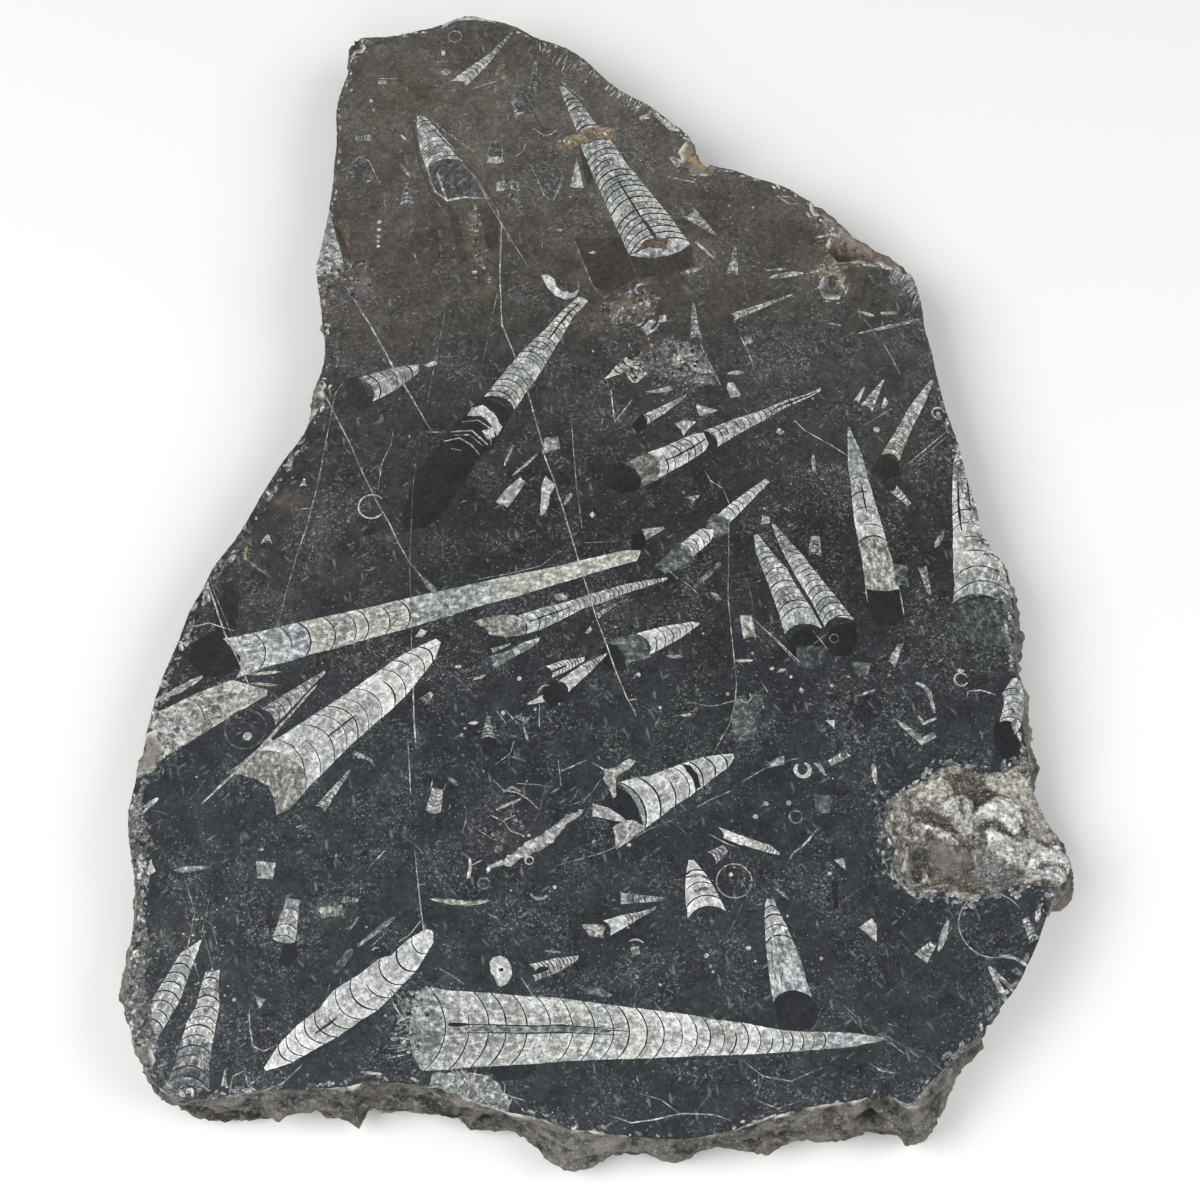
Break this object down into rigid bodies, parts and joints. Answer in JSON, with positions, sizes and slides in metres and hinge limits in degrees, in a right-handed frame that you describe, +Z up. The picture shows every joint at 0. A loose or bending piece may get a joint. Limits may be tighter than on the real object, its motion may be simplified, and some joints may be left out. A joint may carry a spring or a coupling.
{
  "type": "polished orthoceras fossil slab",
  "caption": "Broken-edged slab of dark limestone with a flat polished face crowded with pale straight-shelled fossils, lying flat on its sawn back.",
  "frame": {"origin": "middle of the box, on the surface that the sawn back rests on", "axes": "+Z up out of the polished face, +Y along the slab's length towards its narrow end, +X across it"},
  "size_m": [0.4434, 0.6132, 0.04],
  "materials": {
    "orthoceras_limestone": "polished dark grey-brown limestone with pale calcite fossils; broken edge rough and lighter, grey-beige with brown stains"
  },
  "bodies": {
    "root": {"fossil_slab": "orthoceras_limestone"}
  },
  "joints": []
}
